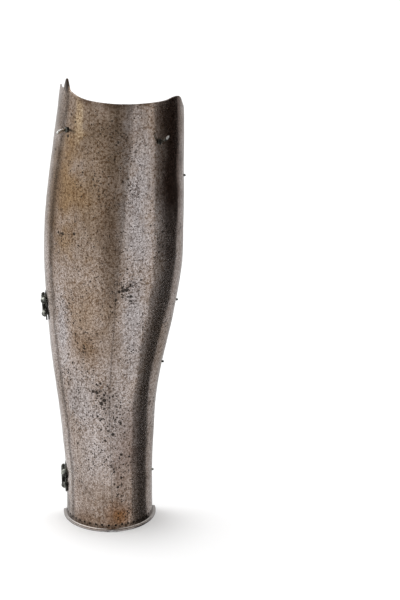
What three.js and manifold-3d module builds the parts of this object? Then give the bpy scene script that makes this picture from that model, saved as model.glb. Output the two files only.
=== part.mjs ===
// The front plate of a steel greave for the right lower leg, standing on its foot flange.
// Millimetres. +Z is up, the shin faces -Y, the hinges are on the outer side, towards -X.
// A place on the plate is a turn, in degrees round from the shin (outer side negative), and a height.
import * as THREE from 'three';
import { mergeVertices } from 'three/addons/utils/BufferGeometryUtils.js';
import Module from 'manifold-3d';

const wasm = await Module();
wasm.setup();

// Driving dimensions of the plate.
const cornerHeight = 381;      // foot to the outer top corner
const frontDrop = 7.5;         // top edge over the shin, below the outer corner
const earRise = 8.6;           // pointed ear, above the outer corner
const calfHalfWidth = 59.6;
const shinDepth = 62;          // widest line to the shin, at the knee
const kneeLean = 15;           // sideways from the ankle's middle to the knee's
const kneeRidgeTurn = 9;       // the ridge swings inwards by this turn at the knee
const ridgeHeight = 1.4;
const ridgeSpread = 14;        // turn over which the ridge dies away
const rearTurn = 97;           // turn of both rear edges
const wall = 1.5;

// The foot flange and the holes pierced above it.
const flangeReach = 3;
const flangeLedge = 1.4;
const flangeBend = 4;          // height at which the flange has become wall
const flangeHeel = 0.3;        // the flange's underside starts this far inside the plate's face
const pierceRadius = 0.85;
const piercePitch = 5.8;
const pierceHeight = 5.2;
const pierceMargin = 4;

// Clearance between pieces that touch on the real greave.
const gap = 0.3;

// Hinges, both alike.
const hingeHeights = { upper: 0.499 * cornerHeight, lower: 0.0866 * cornerHeight };
const leafThickness = 1.2;
const lobeRadius = 6;
const lobeSpacing = 11.6;
const lobeReach = 8.4;         // pin to the middle of a lobe
const pinBehindEdge = 0.9;
const pinRadius = 0.9;
const knuckleRadius = 1.9;
const endKnuckle = 5.6;
const middleKnuckle = 5.8;
const pinHeadRadius = 1.7;
const pinHeadHeight = 2;
const leafBend = 15;           // the free leaf follows the calf inwards
const leafHoleRadius = 1.35;

// Rivets of the fixed leaves.
const shankRadius = 1;
const domeRadius = 3;
const domeHeight = 2.8;
const clenchRadius = 2;
const clenchHeight = 0.8;

// Turning pins near the top edge: each is rolled about its stem, and its tongue's tip rises off the stem's axis.
const turningPins = {
  outer: { turn: -56.5, height: 0.916 * cornerHeight, roll: -110, rise: 3.6 },
  inner: { turn: 33.4, height: 0.895 * cornerHeight, roll: 0, rise: 6.2 },
};
const stemRadius = 1.5;
const collarRadius = 2.9;
const collarHeight = 0.8;
const tongueLength = 10.6;
const tongueWidth = 5.6;
const tongueThickness = 2.2;
const tongueTip = 2.2;

// Studs along the inner edge.
const studHeights = [0.798, 0.512, 0.3675, 0.106].map((share) => share * cornerHeight);
const studFromEdge = 12;
const studRadius = 1.1;
const studLength = 1.7;

// Cross-sections of the plate, as shares of the sizes above, evenly spaced in height.
const sections = [
  { height: 0.0, lean: 0.0, width: 0.636, depth: 0.755, ridge: 0.0, keel: 1.0 },
  { height: 0.1, lean: 0.0, width: 0.636, depth: 0.745, ridge: 0.0, keel: 1.0 },
  { height: 0.2, lean: -0.04, width: 0.673, depth: 0.766, ridge: 0.0, keel: 1.0 },
  { height: 0.3, lean: -0.06, width: 0.735, depth: 0.806, ridge: 0.0, keel: 1.0 },
  { height: 0.4, lean: 0.05, width: 0.832, depth: 0.855, ridge: 0.0, keel: 0.9 },
  { height: 0.5, lean: 0.25, width: 0.93, depth: 0.903, ridge: 0.0, keel: 0.75 },
  { height: 0.6, lean: 0.4, width: 0.992, depth: 0.944, ridge: 0.08, keel: 0.55 },
  { height: 0.7, lean: 0.49, width: 0.995, depth: 0.968, ridge: 0.42, keel: 0.4 },
  { height: 0.8, lean: 0.65, width: 0.96, depth: 0.984, ridge: 0.75, keel: 0.3 },
  { height: 0.9, lean: 0.85, width: 0.916, depth: 0.997, ridge: 0.92, keel: 0.3 },
  { height: 1.0, lean: 1.0, width: 0.862, depth: 1.008, ridge: 1.0, keel: 0.3 },
  { height: 1.1, lean: 1.05, width: 0.82, depth: 1.015, ridge: 1.0, keel: 0.3 },
];

// The top edge: turn as a share of rearTurn, rise above the edge over the shin as a share of frontDrop.
const topEdge = [
  { turn: -1.0, rise: 1.0 },
  { turn: -0.74, rise: 1.0 },
  { turn: -0.62, rise: 0.95 },
  { turn: -0.49, rise: 0.52 },
  { turn: -0.36, rise: 0.25 },
  { turn: -0.21, rise: 0.1 },
  { turn: -0.05, rise: 0.0 },
  { turn: 0.28, rise: 0.0 },
  { turn: 0.43, rise: 0.07 },
  { turn: 0.56, rise: 0.25 },
  { turn: 0.64, rise: 0.2 },
  { turn: 0.7, rise: -0.13 },
  { turn: 0.78, rise: -1.0 },
  { turn: 0.85, rise: -1.33 },
  { turn: 0.91, rise: -1.6 },
  { turn: 1.0, rise: -2.2 },
];

// The pointed ear on the top edge, as shares of rearTurn and earRise.
const ear = [
  { turn: -0.745, rise: 0.0 },
  { turn: -0.705, rise: 0.9 },
  { turn: -0.69, rise: 1.0 },
  { turn: -0.675, rise: 0.85 },
  { turn: -0.62, rise: 0.0 },
];

const steel = new THREE.MeshStandardMaterial({ color: 0x8a7f76, roughness: 0.45, metalness: 1 });
const darkIron = new THREE.MeshStandardMaterial({ color: 0x3d3a34, roughness: 0.55, metalness: 1 });
const rivetIron = new THREE.MeshStandardMaterial({ color: 0x6f7068, roughness: 0.4, metalness: 1 });

const rad = THREE.MathUtils.degToRad;

// Reads a column of a table at a key, on a smooth curve through the rows or on straight lines.
function readTable(table, key, column, at, smooth = true) {
  const last = table.length - 1;
  let i = table.findIndex((row) => row[key] > at) - 1;
  if (i < -1 || i >= last) i = last - 1;
  if (i < 0) i = 0;
  const span = table[i + 1][key] - table[i][key];
  const t = THREE.MathUtils.clamp((at - table[i][key]) / span, 0, 1);
  const from = table[i][column];
  const to = table[i + 1][column];
  if (!smooth) return from + (to - from) * t;
  const slope = (a, b) => (table[b][column] - table[a][column]) / (table[b][key] - table[a][key]);
  const leave = slope(Math.max(i - 1, 0), i + 1) * span;
  const arrive = slope(i, Math.min(i + 2, last)) * span;
  const t2 = t * t;
  const t3 = t2 * t;
  return (2 * t3 - 3 * t2 + 1) * from + (t3 - 2 * t2 + t) * leave
    + (3 * t2 - 2 * t3) * to + (t3 - t2) * arrive;
}

// A point of the plate's outer face: half an ellipse with a soft ridge, and its rear edges wrapped in.
function outerFace(turn, height) {
  const share = height / cornerHeight;
  const column = (name) => readTable(sections, 'height', name, share);
  const halfWidth = calfHalfWidth * column('width');
  const depth = Math.abs(turn) <= 90 ? shinDepth * column('depth') : halfWidth;
  const fromRidge = Math.abs(turn - kneeRidgeTurn * column('ridge'));
  const keel = ridgeHeight * column('keel') * Math.max(0, 1 - fromRidge / ridgeSpread) ** 2;
  return new THREE.Vector3(
    kneeLean * column('lean') + (halfWidth + keel) * Math.sin(rad(turn)),
    -(depth + keel) * Math.cos(rad(turn)),
    height,
  );
}

// The frame of the plate at a place: forward along the plate, up along it, and straight out of it.
function plateFrame(turn, height) {
  const step = 0.5;
  const up = outerFace(turn, height + step).sub(outerFace(turn, height - step)).normalize();
  const round = outerFace(turn + step, height).sub(outerFace(turn - step, height)).normalize();
  const out = new THREE.Vector3().crossVectors(round, up).normalize();
  const along = new THREE.Vector3().crossVectors(up, out);
  return { point: outerFace(turn, height), along, up, out };
}

// A matrix whose x, y and z axes are the plate's along, up and out directions at a place.
function plateMatrix(turn, height) {
  const { point, along, up, out } = plateFrame(turn, height);
  return new THREE.Matrix4().makeBasis(along, up, out).setPosition(point);
}

// The turn that lies a distance ahead of a rear edge, measured along the plate's face.
function turnFromEdge(side, height, distance) {
  const step = 0.1;
  let turn = rearTurn;
  let walked = 0;
  while (walked < distance) {
    const here = outerFace(side * turn, height);
    turn -= step;
    walked += outerFace(side * turn, height).distanceTo(here);
  }
  return side * turn;
}

function topHeight(turn) {
  const share = turn / rearTurn;
  const edge = cornerHeight - frontDrop + frontDrop * readTable(topEdge, 'turn', 'rise', share);
  const inEar = share > ear[0].turn && share < ear[ear.length - 1].turn;
  return edge + (inEar ? earRise * readTable(ear, 'turn', 'rise', share, false) : 0);
}

// Joins and cuts of closed meshes.
function solidOf(geometry) {
  const bare = geometry.clone();
  bare.deleteAttribute('normal');
  bare.deleteAttribute('uv');
  const merged = mergeVertices(bare, 1e-4);
  return new wasm.Manifold(new wasm.Mesh({
    numProp: 3,
    vertProperties: new Float32Array(merged.attributes.position.array),
    triVerts: new Uint32Array(merged.index.array),
  }));
}

function geometryOf(solid) {
  const mesh = solid.getMesh();
  const geometry = new THREE.BufferGeometry();
  geometry.setAttribute('position', new THREE.BufferAttribute(mesh.vertProperties, 3));
  geometry.setIndex(new THREE.BufferAttribute(mesh.triVerts, 1));
  const flat = geometry.toNonIndexed();
  flat.computeVertexNormals();
  return flat;
}

const join = (geometries) => geometries.map(solidOf).reduce((whole, piece) => whole.add(piece));
const cut = (solid, geometries) => geometries.map(solidOf).reduce((left, tool) => left.subtract(tool), solid);

// A rod along z through a place in the local frame, used for stems, knuckles and drills.
function rod(radius, from, to, sides = 14) {
  const geometry = new THREE.CylinderGeometry(radius, radius, to - from, sides);
  return geometry.rotateX(Math.PI / 2).translate(0, 0, (from + to) / 2);
}

function drillPlate(turn, height, radius, sides = 10) {
  const through = 4 * wall;
  return rod(radius, -through, through, sides).applyMatrix4(plateMatrix(turn, height));
}

// Turns of the plate's columns: every corner of the ear has one, and the rest are evenly spread.
function plateTurns() {
  const widest = 0.056;
  const corners = [-1, ...ear.map((row) => row.turn), 1];
  const shares = [-1];
  for (let i = 1; i < corners.length; i += 1) {
    const from = corners[i - 1];
    const steps = Math.ceil((corners[i] - from) / widest);
    for (let k = 1; k <= steps; k += 1) shares.push(from + (corners[i] - from) * (k / steps));
  }
  return shares.map((share) => share * rearTurn);
}

// One column of the plate: its outer face from the flange's lip to the top edge, and its inner face.
function plateColumn(turn) {
  const bends = 4;
  const rows = 24;
  const outer = [];
  const inner = [];
  const offset = (height, reach) => {
    const level = plateFrame(turn, height).out.setZ(0).normalize();
    return outerFace(turn, height).addScaledVector(level, reach);
  };
  outer.push(offset(wall, flangeReach));
  inner.push(offset(0, flangeReach));
  for (let k = 0; k <= bends; k += 1) {
    const lift = 1 - Math.cos(rad(90 * k / bends));
    const left = 1 - Math.sin(rad(90 * k / bends));
    outer.push(offset(wall + (flangeBend - wall) * lift, (flangeReach - flangeLedge) * left));
    inner.push(offset(flangeBend * lift, -wall + (wall - flangeHeel) * left));
  }
  for (let k = 1; k <= rows; k += 1) {
    const height = flangeBend + (topHeight(turn) - flangeBend) * (k / rows);
    const { point, out } = plateFrame(turn, height);
    outer.push(point);
    inner.push(point.clone().addScaledVector(out, -wall));
  }
  return { outer, inner };
}

function plateGeometry() {
  const columns = plateTurns().map(plateColumn);
  const count = columns[0].outer.length;
  const positions = columns.flatMap(({ outer, inner }) => [...outer, ...inner].flatMap((p) => p.toArray()));
  const indices = [];
  const quad = (a, b, c, d) => indices.push(a, b, c, a, c, d);
  const outerAt = (column, row) => column * 2 * count + row;
  const innerAt = (column, row) => outerAt(column, row) + count;
  const last = columns.length - 1;
  for (let j = 0; j < last; j += 1) {
    for (let i = 0; i < count - 1; i += 1) {
      quad(outerAt(j, i), outerAt(j + 1, i), outerAt(j + 1, i + 1), outerAt(j, i + 1));
      quad(innerAt(j, i), innerAt(j, i + 1), innerAt(j + 1, i + 1), innerAt(j + 1, i));
    }
    quad(outerAt(j, count - 1), outerAt(j + 1, count - 1), innerAt(j + 1, count - 1), innerAt(j, count - 1));
    quad(innerAt(j, 0), innerAt(j + 1, 0), outerAt(j + 1, 0), outerAt(j, 0));
  }
  for (let i = 0; i < count - 1; i += 1) {
    quad(outerAt(0, i), outerAt(0, i + 1), innerAt(0, i + 1), innerAt(0, i));
    quad(outerAt(last, i), innerAt(last, i), innerAt(last, i + 1), outerAt(last, i + 1));
  }
  const geometry = new THREE.BufferGeometry();
  geometry.setAttribute('position', new THREE.Float32BufferAttribute(positions, 3));
  geometry.setIndex(indices);
  return geometry;
}

// Small holes pierced above the flange, for a lining, evenly spaced along the foot.
function piercings() {
  const line = [];
  const step = 0.5;
  for (let turn = -rearTurn; turn <= rearTurn; turn += step) line.push(outerFace(turn, pierceHeight));
  const foot = new THREE.CatmullRomCurve3(line);
  const usable = foot.getLength() - 2 * pierceMargin;
  const count = Math.floor(usable / piercePitch) + 1;
  const start = (foot.getLength() - (count - 1) * piercePitch) / 2;
  const drills = [];
  for (let k = 0; k < count; k += 1) {
    const along = foot.getUtoTmapping((start + k * piercePitch) / foot.getLength());
    drills.push(drillPlate(-rearTurn + 2 * rearTurn * along, pierceHeight, pierceRadius, 8));
  }
  return drills;
}

// Places of what is fixed to the plate.
const hingeTurn = (height) => turnFromEdge(-1, height, lobeReach - pinBehindEdge);
const studPlaces = studHeights.map((height) => ({ turn: turnFromEdge(1, height, studFromEdge), height }));

function hingeMatrix(height) {
  return plateMatrix(hingeTurn(height), height);
}

function rivetHoles(height) {
  const holes = [];
  for (const side of [-1, 1]) {
    const drill = rod(shankRadius + gap, -4 * wall, 4 * wall, 12).translate(0, side * lobeSpacing / 2, 0);
    holes.push(drill.applyMatrix4(hingeMatrix(height)));
  }
  return holes;
}

function shinPlate() {
  const drills = [
    ...piercings(),
    ...Object.values(hingeHeights).flatMap(rivetHoles),
    ...Object.values(turningPins).map(({ turn, height }) => drillPlate(turn, height, stemRadius + gap, 14)),
    ...studPlaces.map(({ turn, height }) => drillPlate(turn, height, shankRadius + gap, 10)),
  ];
  return geometryOf(cut(solidOf(plateGeometry()), drills));
}

// A hinge leaf, flat, with two round lobes; x runs from the pin (at 0) to the lobes, z out of the plate.
const leafFace = gap + leafThickness;
const pinAbovePlate = gap + knuckleRadius;

function leafBlank(neckFrom, neckTo) {
  const pieces = [];
  for (const side of [-1, 1]) {
    pieces.push(rod(lobeRadius, gap, leafFace, 24).translate(lobeReach, side * lobeSpacing / 2, 0));
    const neck = new THREE.BoxGeometry(lobeReach, neckTo - neckFrom, leafThickness);
    pieces.push(neck.translate(lobeReach / 2, side * (neckFrom + neckTo) / 2, gap + leafThickness / 2));
  }
  return pieces;
}

function knuckle(from, to) {
  const geometry = new THREE.CylinderGeometry(knuckleRadius, knuckleRadius, to - from, 16);
  return geometry.translate(0, (from + to) / 2, pinAbovePlate);
}

function leafDrills(rivetRadius, sides) {
  const long = 4 * endKnuckle + middleKnuckle;
  const bore = new THREE.CylinderGeometry(pinRadius + gap, pinRadius + gap, long, 14);
  const drills = [bore.translate(0, 0, pinAbovePlate)];
  for (const side of [-1, 1]) {
    drills.push(rod(rivetRadius, -wall, 4 * wall, sides).translate(lobeReach, side * lobeSpacing / 2, 0));
  }
  return drills;
}

const innerEnd = middleKnuckle / 2 + gap;
const barrelEnd = innerEnd + endKnuckle;

function fixedLeaf() {
  const blank = leafBlank(innerEnd, barrelEnd);
  const knuckles = [knuckle(innerEnd, barrelEnd), knuckle(-barrelEnd, -innerEnd)];
  return geometryOf(cut(join([...blank, ...knuckles]), leafDrills(shankRadius + gap, 12)));
}

// The free leaf is the same blank turned over to the back of the pin, with one knuckle in the middle.
function freeLeaf() {
  const half = middleKnuckle / 2;
  const leaf = cut(join([...leafBlank(0, half), knuckle(-half, half)]), leafDrills(leafHoleRadius, 20));
  return geometryOf(leaf);
}

// Turned pieces: a profile of [radius, height] pairs spun round the z axis.
function turned(profile, sides = 14) {
  const points = profile.map(([radius, height]) => new THREE.Vector2(radius, height));
  const spun = new THREE.LatheGeometry(points, sides).rotateX(Math.PI / 2);
  return geometryOf(solidOf(spun));
}

function domeProfile(radius, from, rise, steps = 4) {
  const profile = [];
  for (let k = 0; k <= steps; k += 1) {
    const lift = rad(90 * k / steps);
    profile.push([k === steps ? 0 : radius * Math.cos(lift), from + rise * Math.sin(lift)]);
  }
  return profile;
}

// A rivet from inside the plate outwards: clenched end, shank, domed head on the leaf.
function domedRivet() {
  const seat = leafFace + gap;
  return turned([
    [0, -wall - gap - clenchHeight],
    [clenchRadius * 0.7, -wall - gap - clenchHeight],
    [clenchRadius, -wall - gap],
    [shankRadius, -wall - gap],
    [shankRadius, seat],
    ...domeProfile(domeRadius, seat, domeHeight),
  ]);
}

// A stud for the back plate to snap over: clenched inside, a small round peg outside.
function stud() {
  return turned([
    [0, -wall - gap - clenchHeight],
    [clenchRadius * 0.7, -wall - gap - clenchHeight],
    [clenchRadius, -wall - gap],
    [shankRadius, -wall - gap],
    [shankRadius, gap],
    ...domeProfile(studRadius + gap, gap, studLength, 3),
  ], 10);
}

// A hinge pin along y, with a round head at each end.
function hingePin() {
  const end = barrelEnd + gap;
  const head = domeProfile(pinHeadRadius, end, pinHeadHeight);
  const foot = head.map(([radius, height]) => [radius, -height]).reverse();
  const spun = turned([...foot, [pinRadius, -end], [pinRadius, end], ...head], 12);
  return spun.rotateX(-Math.PI / 2).translate(0, 0, pinAbovePlate);
}

// A turning pin: clenched inside the plate, a stem, a collar, and a flat pointed tongue.
function turningPin(rise) {
  const collarTop = gap + collarHeight;
  const stem = turned([
    [0, -wall - gap - clenchHeight],
    [collarRadius * 0.8, -wall - gap - clenchHeight],
    [collarRadius, -wall - gap],
    [stemRadius, -wall - gap],
    [stemRadius, gap],
    [collarRadius, gap],
    [collarRadius, collarTop],
    [0, collarTop],
  ]);
  const outline = new THREE.Shape();
  const root = collarTop - collarHeight / 2;
  const tip = collarTop + tongueLength;
  outline.moveTo(root, -tongueWidth / 2);
  outline.quadraticCurveTo((root + tip) / 2, -tongueWidth / 2, tip, rise - tongueTip / 2);
  outline.quadraticCurveTo(tip + tongueTip / 2, rise, tip, rise + tongueTip / 2);
  outline.quadraticCurveTo((root + tip) / 2, rise, root, tongueWidth / 2);
  outline.closePath();
  const tongue = new THREE.ExtrudeGeometry(outline, {
    depth: tongueThickness,
    bevelEnabled: false,
    curveSegments: 6,
  });
  tongue.translate(0, 0, -tongueThickness / 2);
  const thin = tongue.attributes.position;
  for (let k = 0; k < thin.count; k += 1) {
    const share = (thin.getX(k) - root) / (tip - root);
    thin.setZ(k, thin.getZ(k) * (1 - 0.45 * share));
  }
  tongue.applyMatrix4(new THREE.Matrix4().makeBasis(
    new THREE.Vector3(0, 0, 1),
    new THREE.Vector3(0, 1, 0),
    new THREE.Vector3(-1, 0, 0),
  ));
  return geometryOf(join([stem, tongue]));
}

function piece(name, geometry, material) {
  const mesh = new THREE.Mesh(geometry, material);
  mesh.name = name;
  return mesh;
}

function placed(matrix, children) {
  const group = new THREE.Group();
  group.applyMatrix4(matrix);
  group.add(...children);
  return group;
}

// One hinge: the leaves and pin share a group whose y axis is the pin, behind the plate's edge.
function hinge(name, height) {
  const onPin = new THREE.Group();
  onPin.position.x = -lobeReach;
  onPin.add(piece(`${name}_hinge_fixed_leaf`, fixedLeaf(), darkIron.clone()));
  onPin.add(piece(`${name}_hinge_pin`, hingePin(), darkIron.clone()));
  const swing = new THREE.Group();
  swing.position.z = pinAbovePlate;
  swing.rotation.y = -rad(leafBend);
  const leaf = piece(`${name}_hinge_free_leaf`, freeLeaf().rotateZ(Math.PI), darkIron.clone());
  leaf.position.z = -pinAbovePlate;
  swing.add(leaf);
  onPin.add(swing);
  const rivets = [1, -1].map((side) => {
    const rivet = piece(`${name}_hinge_rivet_${side > 0 ? 'top' : 'bottom'}`, domedRivet(), rivetIron.clone());
    rivet.position.y = side * lobeSpacing / 2;
    return rivet;
  });
  return placed(hingeMatrix(height), [onPin, ...rivets]);
}

const greave = new THREE.Group();
greave.add(piece('shin_plate', shinPlate(), steel.clone()));
for (const [name, height] of Object.entries(hingeHeights)) greave.add(hinge(name, height));
for (const [name, { turn, height, roll, rise }] of Object.entries(turningPins)) {
  const pin = piece(`${name}_turning_pin`, turningPin(rise), darkIron.clone());
  pin.rotation.z = rad(roll);
  greave.add(placed(plateMatrix(turn, height), [pin]));
}
studPlaces.forEach(({ turn, height }, index) => {
  const node = piece(`inner_edge_stud_${index + 1}`, stud(), rivetIron.clone());
  greave.add(placed(plateMatrix(turn, height), [node]));
});

// The origin is the middle of the whole greave's box, on the surface that it stands on.
greave.updateMatrixWorld(true);
const box = new THREE.Box3().setFromObject(greave, true);
greave.position.set(-(box.min.x + box.max.x) / 2, -(box.min.y + box.max.y) / 2, -box.min.z);
greave.updateMatrixWorld(true);

export default greave;
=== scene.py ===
# The front plate of an old steel greave for the right leg, standing on its foot flange in a white studio.
# Metres, in the frame of the CAD model: +Z is up, the shin faces -Y, the hinges are on the -X side.
import math

import bmesh
import bpy
from mathutils import Matrix, Vector


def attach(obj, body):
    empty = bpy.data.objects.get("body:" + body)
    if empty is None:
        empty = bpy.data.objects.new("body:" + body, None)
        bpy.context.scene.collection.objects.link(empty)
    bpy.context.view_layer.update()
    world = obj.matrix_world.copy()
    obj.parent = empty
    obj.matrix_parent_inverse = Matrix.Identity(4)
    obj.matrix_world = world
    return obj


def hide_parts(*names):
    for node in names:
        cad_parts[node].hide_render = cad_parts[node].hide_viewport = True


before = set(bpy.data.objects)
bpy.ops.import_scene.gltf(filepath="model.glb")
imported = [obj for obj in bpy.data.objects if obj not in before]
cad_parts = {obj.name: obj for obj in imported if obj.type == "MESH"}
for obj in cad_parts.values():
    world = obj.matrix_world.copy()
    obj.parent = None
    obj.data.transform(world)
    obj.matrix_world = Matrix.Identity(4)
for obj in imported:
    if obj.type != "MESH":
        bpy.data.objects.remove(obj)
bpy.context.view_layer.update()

# Shin plate: one sheet of steel, raised with hammers to the front half of the lower leg, with a soft ridge
# down the shin. Its foot is turned out into a flange, and its outer top corner ends in a pointed ear.
# Turns are degrees round the leg from the middle of the shin, positive to the inner side.
corner_height = 0.381
front_drop = 0.0075
ear_rise = 0.0098
calf_half_width = 0.0596
shin_depth = 0.062
knee_lean = 0.015
knee_ridge_turn = 9
ridge_height = 0.0014
ridge_spread = 14
rear_turn = 97
wall = 0.0015
ankle_middle = Vector((-0.00609, 0.02052, 0.0))
flange_reach = 0.003
flange_ledge = 0.0014
flange_bend = 0.004
bend_rings = 4
level_rings = 33
level_top = 0.349
top_rings = 4
plate_columns = 96
wave_length = 0.03
wave_height = 0.001
unhammered_foot = 0.02
plate_rounding = 0.00035

# Cross-sections from the foot up, one for each tenth of the corner's height, as shares of the sizes above.
section_lean = (0, 0, -0.04, -0.06, 0.05, 0.25, 0.4, 0.49, 0.65, 0.85, 1, 1.05)
section_width = (0.636, 0.636, 0.673, 0.735, 0.832, 0.93, 0.992, 0.995, 0.96, 0.916, 0.862, 0.82)
section_depth = (0.755, 0.745, 0.766, 0.806, 0.855, 0.903, 0.944, 0.968, 0.984, 0.997, 1.008, 1.015)
section_ridge_turn = (0, 0, 0, 0, 0, 0, 0.08, 0.42, 0.75, 0.92, 1, 1)
section_ridge = (1, 1, 1, 1, 0.9, 0.75, 0.55, 0.4, 0.3, 0.3, 0.3, 0.3)

# The top edge: turns round from the shin, and the edge's height above its lowest point over the shin.
top_turns = (-97, -72, -60, -47.5, -35, -20, -5, 27, 42, 54, 62, 68, 76, 82, 88, 97)
top_rises = (1, 1, 0.95, 0.52, 0.25, 0.1, 0, 0, 0.07, 0.25, 0.2, -0.13, -1, -1.33, -1.6, -2.2)
ear_turns = (-72.3, -68.4, -66.9, -65.5, -60.1)
ear_rises = (0, 0.9, 1, 0.85, 0)


def read_smoothly(places, values, place):
    """The value at a place, on a smooth curve through the pairs of places and values."""
    last = len(places) - 1
    i = max(0, min(last - 1, sum(1 for p in places if p <= place) - 1))
    span = places[i + 1] - places[i]
    t = max(0.0, min(1.0, (place - places[i]) / span))

    def slope(a, b):
        return (values[b] - values[a]) / (places[b] - places[a]) * span

    leave = slope(max(i - 1, 0), i + 1)
    arrive = slope(i, min(i + 2, last))
    rise = values[i + 1] - values[i]
    bow = 3 * rise - 2 * leave - arrive
    return values[i] + t * leave + t * t * bow + t ** 3 * (leave + arrive - 2 * rise)


def section_at(column, height):
    """The share in a column of the cross-sections at a height."""
    return read_smoothly(range(len(column)), column, 10 * height / corner_height)


def ring_size(height, reach=0.0):
    """Half width, depth and sideways middle of the plate's outer face at a height."""
    half_width = calf_half_width * section_at(section_width, height) + reach
    depth = shin_depth * section_at(section_depth, height) + reach
    return half_width, depth, ankle_middle.x + knee_lean * section_at(section_lean, height)


def plate_point(turn, height):
    """The point of the plate's outer face at a turn and a height."""
    half_width, depth, middle = ring_size(height)
    angle = math.radians(turn)
    return Vector((middle + half_width * math.sin(angle), ankle_middle.y - depth * math.cos(angle), height))


def top_height(turn):
    """The height of the top edge at a turn, with the ear."""
    height = corner_height + front_drop * (read_smoothly(top_turns, top_rises, turn) - 1)
    for i in range(len(ear_turns) - 1):
        if ear_turns[i] <= turn < ear_turns[i + 1]:
            share = (turn - ear_turns[i]) / (ear_turns[i + 1] - ear_turns[i])
            height += ear_rise * (ear_rises[i] + share * (ear_rises[i + 1] - ear_rises[i]))
    return height


def select_only(piece):
    bpy.ops.object.select_all(action="DESELECT")
    piece.select_set(True)
    bpy.context.view_layer.objects.active = piece


def smooth_shade(piece, angle=40):
    select_only(piece)
    bpy.ops.object.shade_smooth_by_angle(angle=math.radians(angle))


def apply_modifier(piece, kind, **settings):
    modifier = piece.modifiers.new(kind.title(), kind)
    for name, value in settings.items():
        setattr(modifier, name, value)
    bpy.context.view_layer.objects.active = piece
    bpy.ops.object.modifier_apply(modifier=modifier.name)


def pull_out(x, y, z):
    """In edit mode, extrudes what is selected."""
    bpy.ops.mesh.extrude_region_move(TRANSFORM_OT_translate={"value": (x, y, z)})


# The foot ring: one point spun round the leg, from rear edge to rear edge.
bpy.ops.object.select_all(action="DESELECT")
bpy.ops.mesh.primitive_circle_add(vertices=3, radius=1.0, location=ankle_middle)
plate = bpy.context.object
plate.name = "shin_plate_steel"
bpy.ops.object.transform_apply()
bpy.ops.object.mode_set(mode="EDIT")
bpy.ops.mesh.select_all(action="SELECT")
bpy.ops.mesh.merge(type="CENTER")
start = Vector((math.sin(math.radians(rear_turn)), -math.cos(math.radians(rear_turn)), 0))
bpy.ops.transform.translate(value=start)
bpy.ops.mesh.spin(steps=plate_columns, angle=math.radians(2 * rear_turn), center=ankle_middle,
                  axis=(0, 0, 1))

# Rings from the flange's lip up: the height of each, and how far it stands out from the wall.
rings = [(wall, flange_reach)]
for k in range(bend_rings + 1):
    bend = math.radians(90 * k / bend_rings)
    rings.append((wall + (flange_bend - wall) * (1 - math.cos(bend)),
                  (flange_reach - flange_ledge) * (1 - math.sin(bend))))
for k in range(1, level_rings + 1):
    rings.append((flange_bend + (level_top - flange_bend) * k / level_rings, 0.0))
width, depth, middle, previous = 1.0, 1.0, ankle_middle.x, 0.0
bpy.ops.mesh.select_all(action="SELECT")
for number, (height, reach) in enumerate(rings):
    new_width, new_depth, new_middle = ring_size(height, reach)
    if number == 0:
        bpy.ops.transform.translate(value=(new_middle - middle, 0, height))
    else:
        pull_out(new_middle - middle, 0, height - previous)
    bpy.ops.transform.resize(value=(new_width / width, new_depth / depth, 1),
                             center_override=(new_middle, ankle_middle.y, height))
    width, depth, middle, previous = new_width, new_depth, new_middle, height

# The last rings rise to the top edge. Each is pulled out a little, and then each of its points is moved to
# its own height.
first_rise = 0.001
turns = [rear_turn * (2 * k / plate_columns - 1) for k in range(plate_columns + 1)]
for ring in range(1, top_rings + 1):
    pull_out(0, 0, first_rise)
    mesh = bmesh.from_edit_mesh(plate.data)
    edge = [point.index for point in mesh.verts if point.select]
    for turn in turns:
        target = plate_point(turn, level_top + (top_height(turn) - level_top) * ring / top_rings)
        mesh = bmesh.from_edit_mesh(plate.data)
        mesh.verts.ensure_lookup_table()
        nearest = min((mesh.verts[i] for i in edge), key=lambda p: (p.co.xy - target.xy).length)
        bpy.ops.mesh.select_all(action="DESELECT")
        nearest.select_set(True)
        bpy.ops.transform.translate(value=target - nearest.co)
    mesh = bmesh.from_edit_mesh(plate.data)
    mesh.verts.ensure_lookup_table()
    bpy.ops.mesh.select_all(action="DESELECT")
    for i in edge:
        mesh.verts[i].select_set(True)
    mesh.select_flush(True)
    bmesh.update_edit_mesh(plate.data)
bpy.ops.mesh.select_all(action="SELECT")
bpy.ops.mesh.normals_make_consistent(inside=False)
bpy.ops.object.mode_set(mode="OBJECT")


def ridge_share(place):
    """How much of the ridge's height the plate has at a place, and none of it away from the ridge."""
    half_width, depth, middle = ring_size(place.z)
    turn = math.degrees(math.atan2((place.x - middle) / half_width, (ankle_middle.y - place.y) / depth))
    away = abs(turn - knee_ridge_turn * section_at(section_ridge_turn, place.z)) / ridge_spread
    return section_at(section_ridge, place.z) * max(0.0, 1 - away) ** 2


# The ridge is drawn up where the weight is, then the sheet gets its hammered waves, its thickness and
# its soft edges.
apply_modifier(plate, "SUBSURF", levels=1, render_levels=1, boundary_smooth="PRESERVE_CORNERS")
ridge = plate.vertex_groups.new(name="ridge")
above_foot = plate.vertex_groups.new(name="above_foot")
for point in plate.data.vertices:
    share = ridge_share(point.co)
    if share > 0:
        ridge.add([point.index], share, "REPLACE")
    above_foot.add([point.index], max(0, min(1, (point.co.z - flange_bend) / unhammered_foot)), "REPLACE")
apply_modifier(plate, "DISPLACE", strength=ridge_height, mid_level=0.0, vertex_group="ridge")
hammering = bpy.data.textures.new("hammering", "CLOUDS")
hammering.noise_scale = wave_length
apply_modifier(plate, "DISPLACE", strength=wave_height, mid_level=0.5, texture=hammering,
               vertex_group="above_foot")

# The outside takes the first material slot and the inside the second.
plate.data.materials.append(None)
plate.data.materials.append(None)
apply_modifier(plate, "SOLIDIFY", thickness=wall, offset=-1, use_even_offset=True, material_offset=1)
apply_modifier(plate, "BEVEL", width=plate_rounding, segments=2, limit_method="ANGLE",
               angle_limit=math.radians(50))

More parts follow.
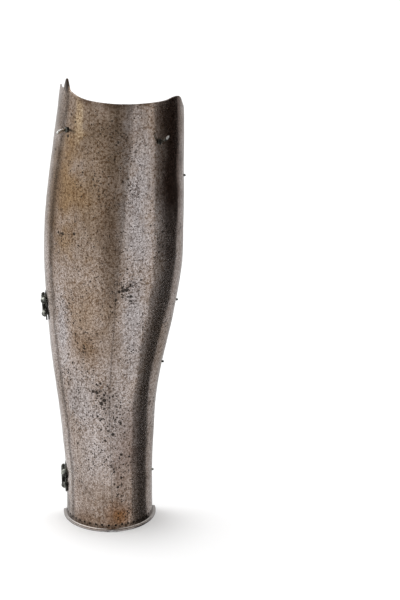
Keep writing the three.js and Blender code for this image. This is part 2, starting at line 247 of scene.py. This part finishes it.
# Lining holes: a row of small holes, punched above the flange, to which a lining was sewn.
hole_radius = 0.00095
hole_pitch = 0.0058
hole_height = 0.0052
hole_margin = 0.004

# They lie at one pitch along the foot's outline, which is walked in steps of half a degree.
line = [plate_point(turn / 2, hole_height) for turn in range(-2 * rear_turn, 2 * rear_turn + 1)]
walked = [0.0]
for i in range(1, len(line)):
    walked.append(walked[-1] + (line[i] - line[i - 1]).length)
hole_count = int((walked[-1] - 2 * hole_margin) / hole_pitch) + 1
first_hole = (walked[-1] - (hole_count - 1) * hole_pitch) / 2
bpy.ops.object.select_all(action="DESELECT")
bpy.ops.mesh.primitive_cylinder_add(vertices=16, radius=hole_radius, depth=6 * wall)
punch = bpy.context.object


def select_faces(piece, wanted):
    """In edit mode, selects the faces that pass the test, and nothing else."""
    bpy.ops.mesh.select_mode(type="FACE")
    bpy.ops.mesh.select_all(action="DESELECT")
    mesh = bmesh.from_edit_mesh(piece.data)
    for face in mesh.faces:
        face.select_set(wanted(face))
    bmesh.update_edit_mesh(piece.data)


# Each hole holds a near-black plug inside the wall, hollow on its outer face, which paints the shade seen
# in the hole.
plug_depth = 0.5 * wall
plug_inside = 0.6 * wall
plug_rim = 0.4 * hole_radius
plug_hollow = 0.1 * wall
bpy.ops.object.select_all(action="DESELECT")
bpy.ops.mesh.primitive_cylinder_add(vertices=12, radius=hole_radius, depth=plug_depth,
                                    location=(0, 0, -plug_inside))
plug = bpy.context.object
bpy.ops.object.transform_apply()
bpy.ops.object.mode_set(mode="EDIT")
select_faces(plug, lambda face: face.normal.z > 0.9)
bpy.ops.mesh.inset(thickness=plug_rim)
bpy.ops.transform.translate(value=(0, 0, -plug_hollow))
bpy.ops.object.mode_set(mode="OBJECT")


def own_copy(piece, matrix):
    """A copy with its own mesh, moved in its mesh by the matrix."""
    twin = bpy.data.objects.new(piece.name, piece.data.copy())
    bpy.context.scene.collection.objects.link(twin)
    twin.data.transform(matrix)
    return twin


def join(pieces):
    bpy.ops.object.select_all(action="DESELECT")
    for piece in pieces:
        piece.select_set(True)
    bpy.context.view_layer.objects.active = pieces[0]
    bpy.ops.object.join()
    return pieces[0]


punches, plugs = [], []
for k in range(hole_count):
    along = first_hole + k * hole_pitch
    i = max(n for n in range(len(walked) - 1) if walked[n] <= along)
    place = line[i].lerp(line[i + 1], (along - walked[i]) / (walked[i + 1] - walked[i]))
    outward = (line[i + 1] - line[i]).cross(Vector((0, 0, 1)))
    hole = Matrix.Translation(place) @ outward.to_track_quat("Z", "Y").to_matrix().to_4x4()
    punches.append(own_copy(punch, hole))
    plugs.append(own_copy(plug, hole))
bpy.data.objects.remove(punch)
bpy.data.objects.remove(plug)

# The plugs' near-black material is painted shade in the lining holes.
hole_shade_black = bpy.data.materials.new("hole_shade_black")
hole_shade_black.use_nodes = True
shader = hole_shade_black.node_tree.nodes["Principled BSDF"]
shader.inputs["Base Color"].default_value = (0.018, 0.014, 0.011, 1)
shader.inputs["Roughness"].default_value = 0.95
hole_shade_plugs = join(plugs)
hole_shade_plugs.name = "lining_hole_shade_plugs"
hole_shade_plugs.data.materials.append(hole_shade_black)
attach(hole_shade_plugs, "front")

punch = join(punches)
apply_modifier(plate, "BOOLEAN", operation="DIFFERENCE", object=punch, solver="EXACT")
bpy.data.objects.remove(punch)
smooth_shade(plate)
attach(plate, "front")
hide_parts("shin_plate")


def add_node(tree, kind, inputs=None, **settings):
    """Adds a shader node, with its settings, and with its inputs given as values or as sockets to link."""
    node = tree.nodes.new("ShaderNode" + kind)
    for name, value in settings.items():
        setattr(node, name, value)
    for name, value in (inputs or {}).items():
        if isinstance(value, bpy.types.NodeSocket):
            tree.links.new(value, node.inputs[name])
        else:
            node.inputs[name].default_value = value
    return node


def new_group(name, inputs, outputs):
    """A shader node group with named sockets, as its tree and its two end nodes."""
    tree = bpy.data.node_groups.new(name, "ShaderNodeTree")
    for label, kind, value in inputs:
        socket = tree.interface.new_socket(name=label, in_out="INPUT", socket_type="NodeSocket" + kind)
        socket.default_value = value
    for label, kind in outputs:
        tree.interface.new_socket(name=label, in_out="OUTPUT", socket_type="NodeSocket" + kind)
    return tree, tree.nodes.new("NodeGroupInput"), tree.nodes.new("NodeGroupOutput")


def use_group(tree, group, inputs):
    return add_node(tree, "Group", inputs, node_tree=group)


def math_node(tree, operation, first, second=0.0, clamp=False):
    return add_node(tree, "Math", {0: first, 1: second}, operation=operation, use_clamp=clamp).outputs[0]


def mix_colour(tree, amount, under, over, blend="MIX"):
    node = add_node(tree, "Mix", {0: amount, 6: under, 7: over}, data_type="RGBA", blend_type=blend)
    return node.outputs[2]


def stretch(tree, value, low, high, to_low=0.0, to_high=1.0):
    """Spreads the values between low and high over a new range, and holds them there."""
    return add_node(tree, "MapRange", {"Value": value, "From Min": low, "From Max": high,
                                       "To Min": to_low, "To Max": to_high}).outputs[0]


def noise(tree, place, scale, detail=3.0, roughness=0.5):
    return add_node(tree, "TexNoise", {"Vector": place, "Scale": scale, "Detail": detail,
                                       "Roughness": roughness}).outputs["Fac"]


# Rust pits: one at most in each cell, of any size up to the largest, with ragged rims.
ragged_by = 0.0012
pits, given, out = new_group(
    "rust_pits",
    [("Place", "Vector", (0, 0, 0)), ("Per Metre", "Float", 500), ("Amount", "Float", 0.5)],
    [("Pits", "Float")],
)
ragged = add_node(pits, "TexNoise", {"Vector": given.outputs["Place"], "Scale": 900, "Detail": 2})
wobble = add_node(pits, "VectorMath", {0: ragged.outputs["Color"], 1: (ragged_by, ragged_by, ragged_by)},
                  operation="MULTIPLY")
moved = add_node(pits, "VectorMath", {0: given.outputs["Place"], 1: wobble.outputs[0]}, operation="ADD")
cells = add_node(pits, "TexVoronoi", {"Vector": moved.outputs[0], "Scale": given.outputs["Per Metre"]})
chance = add_node(pits, "SeparateColor", {0: cells.outputs["Color"]}).outputs["Red"]
size = math_node(pits, "SUBTRACT", math_node(pits, "ADD", chance, given.outputs["Amount"]), 1.0)
depth_in = math_node(pits, "SUBTRACT", math_node(pits, "MULTIPLY", size, 0.9), cells.outputs["Distance"])
pits.links.new(stretch(pits, depth_in, -0.08, 0.12), out.inputs["Pits"])

# A stain: a rounded patch of another colour at a place, with an uneven edge.
stain, given, out = new_group(
    "stain",
    [("Place", "Vector", (0, 0, 0)), ("Centre", "Vector", (0, 0, 0)), ("Reach", "Vector", (1, 1, 1)),
     ("Uneven", "Float", 0.5), ("Strength", "Float", 1), ("Softness", "Float", 1),
     ("Under", "Color", (1, 1, 1, 1)), ("Stain", "Color", (0, 0, 0, 1))],
    [("Color", "Color"), ("Mask", "Float")],
)
around = add_node(stain, "Mapping", {"Vector": given.outputs["Place"], "Location": given.outputs["Centre"],
                                     "Scale": given.outputs["Reach"]}, vector_type="TEXTURE")
away = add_node(stain, "VectorMath", {0: around.outputs[0]}, operation="LENGTH").outputs["Value"]
frayed = math_node(stain, "ADD", away, math_node(stain, "MULTIPLY", given.outputs["Uneven"], 1.6))
half_soft = math_node(stain, "MULTIPLY", given.outputs["Softness"], 0.5)
rim = 1.4
outer_rim = math_node(stain, "ADD", rim, half_soft)
inner_rim = math_node(stain, "SUBTRACT", rim, half_soft)
inside = stretch(stain, frayed, outer_rim, inner_rim)
mask = math_node(stain, "MULTIPLY", inside, given.outputs["Strength"], clamp=True)
stained = mix_colour(stain, mask, given.outputs["Under"], given.outputs["Stain"])
stain.links.new(stained, out.inputs["Color"])
stain.links.new(mask, out.inputs["Mask"])

# Old steel: bare and grey where it was rubbed, brown where it was left, and freckled all over with small
# rust pits.
old_steel = bpy.data.materials.new("old_steel")
old_steel.use_nodes = True
tree = old_steel.node_tree
shader = tree.nodes["Principled BSDF"]
place = add_node(tree, "TexCoord").outputs["Object"]
uneven = noise(tree, place, 42, 6, 0.62)
blotches = noise(tree, place, 16, 5, 0.6)
bare = (0.74, 0.665, 0.64, 1)
brown = (0.45, 0.345, 0.26, 1)
bright = (0.69, 0.655, 0.66, 1)
clean_lip = (0.56, 0.53, 0.51, 1)
fold_dirt_and_shade = (0.11, 0.08, 0.06, 1)
pit_black = (0.035, 0.027, 0.021, 1)
brown_grain = (0.42, 0.34, 0.27, 1)
grey_grain = (0.42, 0.38, 0.36, 1)
pale_grain = (1.42, 1.40, 1.39, 1)
brown_freckle = (0.46, 0.37, 0.28, 1)
colour = mix_colour(tree, stretch(tree, blotches, 0.46, 0.62, 0.05, 0.6), bare, brown)


def patch(turn, height, breadth, rise, strength, **more):
    """A stain on the old steel, at a turn and a height, with half its breadth and half its height."""
    inputs = {"Place": place, "Centre": plate_point(turn, height), "Reach": (breadth, breadth, rise),
              "Uneven": uneven, "Strength": strength}
    inputs.update(more)
    return use_group(old_steel.node_tree, stain, inputs)


# Stains: turn, height, half their breadth, half their height, colour, strength and softness.
stains = (
    (-30, 0.290, 0.046, 0.120, (0.36, 0.27, 0.19), 0.9, 1),
    (-6, 0.262, 0.013, 0.125, (0.30, 0.22, 0.16), 0.8, 1),
    (-30, 0.350, 0.050, 0.045, (0.32, 0.24, 0.165), 0.6, 1),
    (-8, 0.356, 0.024, 0.034, (0.22, 0.165, 0.12), 0.9, 1),
    (6, 0.352, 0.010, 0.030, (0.42, 0.33, 0.27), 0.8, 1),
    (-50, 0.302, 0.026, 0.070, (0.46, 0.315, 0.18), 0.9, 0.7),
    # The next row, a narrow pale beige streak, is a painted highlight.
    (-43, 0.360, 0.006, 0.026, (0.78, 0.62, 0.42), 0.85, 0.8),
    (-66, 0.290, 0.018, 0.100, (0.32, 0.22, 0.14), 0.95, 0.6),
    (-76, 0.362, 0.022, 0.040, (0.34, 0.27, 0.22), 0.9, 0.8),
    (-24, 0.190, 0.030, 0.060, (0.50, 0.38, 0.28), 0.7, 1),
    (-24, 0.166, 0.022, 0.022, (0.36, 0.25, 0.165), 0.8, 1),
    (-53, 0.175, 0.014, 0.060, (0.95, 0.85, 0.81), 0.7, 0.8),
    (-42, 0.069, 0.014, 0.026, (0.50, 0.37, 0.26), 0.7, 1),
    (0, 0.121, 0.008, 0.030, (0.40, 0.32, 0.27), 0.85, 1),
    (5, 0.166, 0.007, 0.022, (0.48, 0.40, 0.35), 0.7, 1),
    (20, 0.062, 0.022, 0.085, (0.42, 0.335, 0.30), 0.9, 0.4),
    (-76, 0.012, 0.020, 0.018, (0.17, 0.13, 0.10), 0.9, 0.7),
    (20.5, 0.278, 0.0008, 0.040, (0.10, 0.08, 0.07), 0.7, 0.5),
    (-20, 0.030, 0.040, 0.030, (0.44, 0.35, 0.29), 0.85, 1),
    (12, 0.013, 0.018, 0.016, (0.34, 0.17, 0.07), 0.95, 0.7),
    (-30, 0.008, 0.030, 0.012, (0.31, 0.22, 0.16), 0.85, 1),
    (42, 0.030, 0.024, 0.045, (0.62, 0.53, 0.48), 0.8, 0.8),
    (-65, 0.045, 0.010, 0.060, (0.95, 0.87, 0.84), 0.8, 0.8),
    # The next row is a brown stain that also paints the dark reflection over the upper inner side.
    (52, 0.330, 0.026, 0.120, (0.17, 0.105, 0.08), 0.95, 0.7),
    # The last four rows darken a narrow band under the top edge, and the ear's tip almost to black.
    (-12, 0.374, 0.020, 0.007, (0.15, 0.11, 0.08), 0.9, 0.6),
    (-36, 0.377, 0.014, 0.007, (0.17, 0.12, 0.09), 0.9, 0.6),
    (16, 0.374, 0.016, 0.005, (0.2, 0.15, 0.11), 0.9, 0.6),
    (-66, 0.388, 0.006, 0.014, (0.07, 0.05, 0.038), 0.98, 0.5),
)
for turn, height, breadth, rise, tint, strength, softness in stains:
    stained = patch(turn, height, breadth, rise, strength, Softness=softness, Under=colour,
                    Stain=(*tint, 1))
    colour = stained.outputs["Color"]

# Steel rubbed bright, with grey freckles: turn, height, half its breadth, half its height and how bright.
rubbed_places = (
    (15, 0.285, 0.017, 0.105, 1),
    (17, 0.190, 0.014, 0.095, 1),
    (-52, 0.175, 0.012, 0.060, 1),
    (-36, 0.118, 0.030, 0.050, 0.85),
    (-34, 0.070, 0.034, 0.045, 0.6),
    (8, 0.110, 0.022, 0.060, 0.5),
)
rubbed = 0.0
for row in rubbed_places:
    rubbed = math_node(tree, "MAXIMUM", rubbed, patch(*row, Softness=0.7).outputs["Mask"])
colour = mix_colour(tree, math_node(tree, "MULTIPLY", rubbed, 0.75), colour, bright)

# Dirt and painted shade darken the fold over the flange.
up = add_node(tree, "SeparateXYZ", {0: place}).outputs["Z"]
fold = stretch(tree, up, 0.0065, 0.0045, 0.0, 0.75)
colour = mix_colour(tree, fold, colour, fold_dirt_and_shade)

# The grain of the steel, with faint upright streaks, and small freckles over it. The knee end is smoother.
grain = noise(tree, place, 850, 3, 0.7)
drawn_out = add_node(tree, "Mapping", {"Vector": place, "Scale": (1, 1, 0.07)}).outputs[0]
streaks = noise(tree, drawn_out, 900, 2)
grainy = math_node(tree, "MAXIMUM", stretch(tree, up, 0.24, 0.31, 0.9, 0.55), rubbed)
tone = math_node(tree, "MULTIPLY", stretch(tree, grain, 0.38, 0.62, -0.5, 0.5), grainy)
tone = math_node(tree, "ADD", tone, stretch(tree, streaks, 0.38, 0.62, 0.42, 0.66))
dark_grain = mix_colour(tree, rubbed, brown_grain, grey_grain)
shade = mix_colour(tree, tone, dark_grain, pale_grain)
colour = mix_colour(tree, 1.0, colour, shade, "MULTIPLY")
freckled = stretch(tree, noise(tree, place, 480, 4, 0.65), 0.49, 0.6)
freckled = math_node(tree, "MULTIPLY", freckled, stretch(tree, blotches, 0.4, 0.6, 0.6, 1.0))
freckle_tint = mix_colour(tree, rubbed, brown_freckle, grey_grain)
colour = mix_colour(tree, freckled, colour, mix_colour(tree, 1.0, colour, freckle_tint, "MULTIPLY"))

# The lip of the foot is rubbed almost clean.
lip = stretch(tree, up, 0.0023, 0.0018, 0.0, 0.75)
colour = mix_colour(tree, lip, colour, clean_lip)

# Crowds of pits: turn, height, half their breadth, half their height and strength.
pit_crowds = (
    (8, 0.218, 0.018, 0.024, 1.0),
    (-11, 0.125, 0.014, 0.024, 0.9),
    (2, 0.092, 0.022, 0.045, 0.7),
    (8, 0.055, 0.026, 0.055, 0.6),
    (-36, 0.165, 0.020, 0.045, 0.5),
    (8, 0.335, 0.014, 0.045, 0.4),
)
crowd = 0.0
for row in pit_crowds:
    crowd = math_node(tree, "MAXIMUM", crowd, patch(*row).outputs["Mask"])
scattered = stretch(tree, noise(tree, place, 30, 3), 0.3, 0.7, 0.2, 0.7)
crowded = math_node(tree, "ADD", scattered, math_node(tree, "MULTIPLY", crowd, 0.35))
small_pits = use_group(tree, pits, {"Place": place, "Per Metre": 620, "Amount": crowded}).outputs[0]
large_scattered = stretch(tree, noise(tree, place, 22, 4), 0.45, 0.75, 0.0, 0.75)
large_crowd = math_node(tree, "MAXIMUM", crowd, large_scattered)
large_pits = use_group(tree, pits, {"Place": place, "Per Metre": 300, "Amount": large_crowd}).outputs[0]
broad_crowd = stretch(tree, crowd, 0.8, 1, 0, 0.78)
broad_pits = use_group(tree, pits, {"Place": place, "Per Metre": 175, "Amount": broad_crowd}).outputs[0]
pitted = math_node(tree, "MAXIMUM", math_node(tree, "MAXIMUM", small_pits, large_pits), broad_pits)
colour = mix_colour(tree, math_node(tree, "MULTIPLY", pitted, 0.9), colour, pit_black)
tree.links.new(colour, shader.inputs["Base Color"])
shader.inputs["Metallic"].default_value = 0.95
rough = math_node(tree, "ADD", stretch(tree, grain, 0.3, 0.7, 0.09, 0.2),
                  math_node(tree, "MULTIPLY", pitted, 0.4))
tree.links.new(rough, shader.inputs["Roughness"])
relief = math_node(tree, "SUBTRACT", math_node(tree, "MULTIPLY", grain, 0.5), pitted)
bump = add_node(tree, "Bump", {"Height": relief, "Distance": 0.00004, "Strength": 0.4})
tree.links.new(bump.outputs[0], shader.inputs["Normal"])
plate.data.materials[0] = old_steel

# Forge black: the inside was never polished. It is brown and black from the forge, and rough with hammer
# marks.
black_skin = (0.085, 0.07, 0.058, 1)
brown_skin = (0.21, 0.145, 0.095, 1)
inside_pit_black = (0.035, 0.028, 0.022, 1)
forge_black = bpy.data.materials.new("forge_black")
forge_black.use_nodes = True
tree = forge_black.node_tree
shader = tree.nodes["Principled BSDF"]
place = add_node(tree, "TexCoord").outputs["Object"]
skin_patches = stretch(tree, noise(tree, place, 34, 5, 0.6), 0.38, 0.62)
colour = mix_colour(tree, skin_patches, black_skin, brown_skin)
inside_pits = use_group(tree, pits, {"Place": place, "Per Metre": 420, "Amount": 0.55}).outputs[0]
colour = mix_colour(tree, inside_pits, colour, inside_pit_black)
tree.links.new(colour, shader.inputs["Base Color"])
tree.links.new(stretch(tree, skin_patches, 0, 1, 0.42, 0.62), shader.inputs["Roughness"])
shader.inputs["Metallic"].default_value = 0.85
blows = add_node(tree, "TexVoronoi", {"Vector": place, "Scale": 85}, feature="SMOOTH_F1")
dents = add_node(tree, "Bump", {"Height": blows.outputs["Distance"], "Distance": 0.0012, "Strength": 0.6})
bump = add_node(tree, "Bump", {"Height": noise(tree, place, 500, 3), "Distance": 0.0002, "Strength": 0.5,
                               "Normal": dents.outputs[0]})
tree.links.new(bump.outputs[0], shader.inputs["Normal"])
plate.data.materials[1] = forge_black

# Hinges: two iron leaves of two round lobes each, cut from sheet and bent round an iron pin. The fixed leaf
# is riveted to the plate, and the free one, with its empty holes, held the back plate.
leaf_rounding = 0.0002
iron_fleck_black = (0.03, 0.024, 0.02, 1)


def fit(piece, name, material, body, node):
    """Gives a piece its name, its material and the body that it moves with, in place of a CAD node."""
    piece.name = name
    piece.data.materials.clear()
    piece.data.materials.append(material)
    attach(piece, body)
    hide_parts(node)


def iron(name, dark, light):
    """Old iron, dark in some patches and paler in others where it was rubbed."""
    material = bpy.data.materials.new(name)
    material.use_nodes = True
    tree = material.node_tree
    shader = tree.nodes["Principled BSDF"]
    place = add_node(tree, "TexCoord").outputs["Object"]
    cloudy = stretch(tree, noise(tree, place, 260, 4, 0.6), 0.42, 0.66)
    colour = mix_colour(tree, cloudy, dark, light)
    flecks = use_group(tree, pits, {"Place": place, "Per Metre": 900, "Amount": 0.6}).outputs[0]
    colour = mix_colour(tree, flecks, colour, iron_fleck_black)
    tree.links.new(colour, shader.inputs["Base Color"])
    tree.links.new(stretch(tree, cloudy, 0, 1, 0.4, 0.24), shader.inputs["Roughness"])
    shader.inputs["Metallic"].default_value = 1
    relief = noise(tree, place, 500, 3)
    bump = add_node(tree, "Bump", {"Height": relief, "Distance": 0.0003, "Strength": 0.4})
    tree.links.new(bump.outputs[0], shader.inputs["Normal"])
    return material


def softened_copy(node, rounding):
    """A copy of a CAD node's mesh, with its points merged and its sharp edges rounded."""
    piece = bpy.data.objects.new(node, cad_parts[node].data.copy())
    bpy.context.scene.collection.objects.link(piece)
    select_only(piece)
    bpy.ops.object.mode_set(mode="EDIT")
    bpy.ops.mesh.select_all(action="SELECT")
    bpy.ops.mesh.remove_doubles(threshold=0.00001)
    bpy.ops.mesh.dissolve_limited(angle_limit=math.radians(1))
    bpy.ops.object.mode_set(mode="OBJECT")
    apply_modifier(piece, "BEVEL", width=rounding, segments=2, limit_method="ANGLE",
                   angle_limit=math.radians(45))
    smooth_shade(piece, 50)
    return piece


dark_iron = iron("dark_iron", (0.03, 0.028, 0.025, 1), (0.25, 0.255, 0.225, 1))
for hinge in ("upper_hinge", "lower_hinge"):
    leaf_body = hinge.replace("hinge", "leaf")
    for node, body in (("fixed_leaf", "front"), ("pin", "front"), ("free_leaf", leaf_body)):
        piece = softened_copy(f"{hinge}_{node}", leaf_rounding)
        fit(piece, f"{hinge}_{node}_iron", dark_iron, body, f"{hinge}_{node}")

# Rivets of the fixed leaves: iron, each with a domed head outside and its shank clenched over inside.
# Wear has rubbed the domes paler than the leaves. Each is made along z, then set in the plate at its lobe.
hinge_places = {"upper": (-89.2, 0.1901), "lower": (-86.4, 0.033)}
gap = 0.0003
leaf_thickness = 0.0012
rivet_spacing = 0.0116
shank_radius = 0.001
dome_radius = 0.003
dome_height = 0.0032
clench_radius = 0.002
clench_height = 0.0008
clench_step = 0.0001
clench_taper = 0.7
half_step_up = 0.0005
half_step_round = 0.5


def plate_frame(turn, height):
    """The matrix of a place on the plate: x runs round the plate, y up along it, and z straight out."""
    up = (plate_point(turn, height + half_step_up) - plate_point(turn, height - half_step_up)).normalized()
    around = plate_point(turn + half_step_round, height) - plate_point(turn - half_step_round, height)
    out = around.cross(up).normalized()
    axes = Matrix((up.cross(out), up, out)).transposed()
    return Matrix.Translation(plate_point(turn, height)) @ axes.to_4x4()


def widen(factor):
    bpy.ops.transform.resize(value=(factor, factor, 1))


def domed_rivet(head_radius, head_height, seat):
    """A rivet along z, with its head on the height of its seat and its clenched end inside the plate."""
    bpy.ops.object.select_all(action="DESELECT")
    bpy.ops.mesh.primitive_uv_sphere_add(segments=24, ring_count=14, radius=head_radius)
    rivet = bpy.context.object
    bpy.ops.object.mode_set(mode="EDIT")
    bpy.ops.mesh.select_all(action="SELECT")
    bpy.ops.transform.resize(value=(1, 1, head_height / head_radius))
    bpy.ops.mesh.bisect(plane_co=(0, 0, 0), plane_no=(0, 0, 1), clear_inner=True, use_fill=True)
    bpy.ops.mesh.select_all(action="SELECT")
    bpy.ops.transform.translate(value=(0, 0, seat))
    select_faces(rivet, lambda face: face.normal.z < -0.9)
    bpy.ops.mesh.inset(thickness=head_radius - shank_radius)
    pull_out(0, 0, -seat - wall - gap)
    pull_out(0, 0, -clench_step)
    widen(clench_radius / shank_radius)
    pull_out(0, 0, clench_step - clench_height)
    widen(clench_taper)
    bpy.ops.object.mode_set(mode="OBJECT")
    smooth_shade(rivet)
    return rivet


rubbed_iron = iron("rubbed_iron", (0.11, 0.11, 0.10, 1), (0.72, 0.74, 0.66, 1))
rivet = domed_rivet(dome_radius, dome_height, 2 * gap + leaf_thickness)
for hinge, (turn, height) in hinge_places.items():
    for end, side in (("top", 1), ("bottom", -1)):
        lobe = plate_frame(turn, height) @ Matrix.Translation((0, side * rivet_spacing / 2, 0))
        node = f"{hinge}_hinge_rivet_{end}"
        fit(own_copy(rivet, lobe), f"{node}_iron", rubbed_iron, "front", node)
bpy.data.objects.remove(rivet)

# Turning pins: iron, free to turn in the plate, each drawn out of one piece with its collar and slender
# tongue. The tongue passes through a slot in the knee defence and locks it. Its tip is painted pale, as a
# painted highlight.
stem_radius = 0.0015
collar_radius = 0.0024
collar_height = 0.0008
foot_radius = 0.8 * collar_radius
tongue_length = 0.0106
tongue_dip = 0.0028

# The tongue's shape: shares of its length, with its thickness and breadth there.
tongue_shape = (
    (0.06, 0.0026, 0.0022),
    (0.3, 0.0026, 0.0025),
    (0.55, 0.0024, 0.0032),
    (0.78, 0.0020, 0.0034),
    (0.93, 0.0014, 0.0024),
    (1, 0.0008, 0.0008),
)

# Each pin's turn, height, roll, the rise of its tip, and the share of its tongue from which it carries a
# painted highlight.
turning_pins = {
    "outer": (-56.5, 0.349, -130, 0.0042, 0.3),
    "inner": (33.4, 0.341, 0, 0.0062, 0.7),
}


def turning_pin(rise):
    """A pin along z, pulled out from its clenched end up, whose tongue's tip rises off its axis."""
    inside = -wall - gap
    bottom = inside - clench_height
    collar_top = gap + collar_height
    bpy.ops.object.select_all(action="DESELECT")
    bpy.ops.mesh.primitive_circle_add(vertices=24, radius=foot_radius, fill_type="NGON",
                                      location=(0, 0, bottom))
    pin = bpy.context.object
    bpy.ops.object.transform_apply()
    bpy.ops.object.mode_set(mode="EDIT")
    bpy.ops.mesh.select_mode(type="FACE")
    bpy.ops.mesh.select_all(action="SELECT")
    profile = [
        (inside, collar_radius, collar_radius, 0),
        (inside, stem_radius, stem_radius, 0),
        (gap, stem_radius, stem_radius, 0),
        (gap, collar_radius, collar_radius, 0),
        (collar_top, collar_radius, collar_radius, 0),
    ]
    for share, thickness, breadth in tongue_shape:
        off_axis = share * (1 - share) * (rise - tongue_dip) + share * share * rise
        profile.append((collar_top + share * tongue_length, thickness / 2, breadth / 2, off_axis))
    height, half_x, half_y, off = bottom, foot_radius, foot_radius, 0
    for new_height, new_x, new_y, new_off in profile:
        pull_out(0, new_off - off, new_height - height)
        bpy.ops.transform.resize(value=(new_x / half_x, new_y / half_y, 1))
        height, half_x, half_y, off = new_height, new_x, new_y, new_off
    bpy.ops.mesh.select_all(action="SELECT")
    bpy.ops.mesh.normals_make_consistent(inside=False)
    bpy.ops.object.mode_set(mode="OBJECT")
    smooth_shade(pin, 50)
    return pin


# The tongue's tip gets a pale material: a painted highlight.
painted_tip_highlight = iron("painted_tip_highlight", (0.6, 0.6, 0.58, 1), (0.85, 0.85, 0.82, 1))
for side, (turn, height, roll, rise, highlight_from) in turning_pins.items():
    piece = turning_pin(rise)
    node = f"{side}_turning_pin"
    fit(piece, f"{node}_iron", dark_iron, f"{side}_pin", node)
    piece.data.materials.append(painted_tip_highlight)
    for face in piece.data.polygons:
        if face.center.z > gap + collar_height + highlight_from * tongue_length:
            face.material_index = 1
    piece.data.transform(plate_frame(turn, height) @ Matrix.Rotation(math.radians(roll), 4, "Z"))

# Studs on the inner edge: small iron pegs, riveted through the plate like the hinges' rivets.
# Holes in the back plate used to spring over them.
stud_places = ((84.5, 0.304), (84.3, 0.1951), (82.5, 0.14), (82.1, 0.0404))
stud_radius = 0.0011
stud_height = 0.0012
stud = domed_rivet(stud_radius, stud_height, gap)
for number, (turn, height) in enumerate(stud_places, 1):
    node = f"inner_edge_stud_{number}"
    fit(own_copy(stud, plate_frame(turn, height)), f"{node}_iron", dark_iron, "front", node)
bpy.data.objects.remove(stud)

# Studio: a pale paper floor in a white room, whose front and right sides are dimmer. The floor is not
# mirrored in the steel, because the room's own lower half is.
floor_size = 12.0
bpy.ops.object.select_all(action="DESELECT")
bpy.ops.mesh.primitive_plane_add(size=floor_size, location=(0, 0, 0))
floor = bpy.context.object
floor.name = "floor"
paper = bpy.data.materials.new("white_paper")
paper.use_nodes = True
shader = paper.node_tree.nodes["Principled BSDF"]
shader.inputs["Base Color"].default_value = (0.9, 0.9, 0.9, 1)
shader.inputs["Roughness"].default_value = 0.9
floor.data.materials.append(paper)
floor.visible_glossy = False

world = bpy.data.worlds.new("studio")
bpy.context.scene.world = world
world.use_nodes = True
tree = world.node_tree
room = tree.nodes["Background"]
way = add_node(tree, "SeparateXYZ", {0: add_node(tree, "TexCoord").outputs["Generated"]})
bearing = math_node(tree, "ARCTAN2", way.outputs["X"], math_node(tree, "MULTIPLY", way.outputs["Y"], -1.0))

# On the right, the bright wall comes further forward low down.
low_down = stretch(tree, way.outputs["Z"], -0.34, -0.44, 0, math.radians(11))
nearer = math_node(tree, "MULTIPLY", low_down, stretch(tree, bearing, 1.3, 1.7))
shifted = math_node(tree, "ADD", bearing, nearer)
walls = add_node(tree, "ValToRGB", {0: stretch(tree, shifted, -math.pi, math.pi)})

# Bearings from the shin's front, positive to the right, and how bright the room is there.
room_light = (
    (-180, 0.64), (-136, 0.6), (-132, 0.26), (-126, 0.26), (-120, 0.66), (-34, 0.68),
    (-14, 0.44), (8, 0.3), (16, 0.52), (28, 0.6), (44, 0.58), (64, 0.6),
    (69, 0.22), (84, 0.1), (98, 0.03), (125, 0.025), (130, 0.38), (180, 0.5),
)
stops = walls.color_ramp.elements
stops.remove(stops[1])
for bearing_deg, level in room_light[1:]:
    stops.new(bearing_deg / 360 + 0.5)
for stop, (bearing_deg, level) in zip(stops, room_light):
    stop.position = bearing_deg / 360 + 0.5
    stop.color = (level, level, level, 1)

# Soft lights hang over both sides, and little light comes up from straight below. The camera sees plain
# white.
aside = stretch(tree, math_node(tree, "ABSOLUTE", bearing), 0.8, 1.3)
overhead_share = math_node(tree, "MULTIPLY", stretch(tree, way.outputs["Z"], 0.4, 0.65), aside)
overhead_level = stretch(tree, bearing, -1.2, -0.8, 2.0, 1.0)
overhead_grey = add_node(tree, "CombineColor", {0: overhead_level, 1: overhead_level, 2: overhead_level})
lit_room = mix_colour(tree, overhead_share, walls.outputs["Color"], overhead_grey.outputs[0])
below = stretch(tree, way.outputs["Z"], -0.92, -0.78, 0.95, 0.0)
lit_room = mix_colour(tree, below, lit_room, (0.2, 0.19, 0.18, 1))
seen = add_node(tree, "LightPath").outputs["Is Camera Ray"]
tree.links.new(mix_colour(tree, seen, lit_room, (1, 1, 1, 1)), room.inputs["Color"])

# Overhead lights whiten the floor. A broad one leaves a soft shadow round the foot, and a smaller one, a
# little behind the greave, a narrow shadow in front of it. Each has a strength, a spread and a lean.
for name, energy, spread, lean in (("broad_light", 0.85, 50, 0), ("rear_light", 0.3, 8, -4)):
    light_data = bpy.data.lights.new(name, "SUN")
    light_data.energy = energy
    light_data.angle = math.radians(spread)
    light = bpy.data.objects.new(name, light_data)
    bpy.context.scene.collection.objects.link(light)
    light.location = (0, 0, 2)
    light.rotation_euler = (math.radians(lean), 0, 0)
    light.visible_glossy = False
bpy.context.scene.view_settings.view_transform = "Standard"

# The camera stands in front of the greave, a little higher than its knee end, and looks down at it.
camera_data = bpy.data.cameras.new("camera")
camera_data.lens = 104.22
camera_data.sensor_width = 36
camera = bpy.data.objects.new("camera", camera_data)
bpy.context.scene.collection.objects.link(camera)
camera.location = (-0.06483, -1.42941, 0.58273)
aim = Vector((0.07404, 0.01280, 0.1945)) - camera.location
camera.rotation_euler = aim.to_track_quat("-Z", "Y").to_euler()
bpy.context.scene.camera = camera
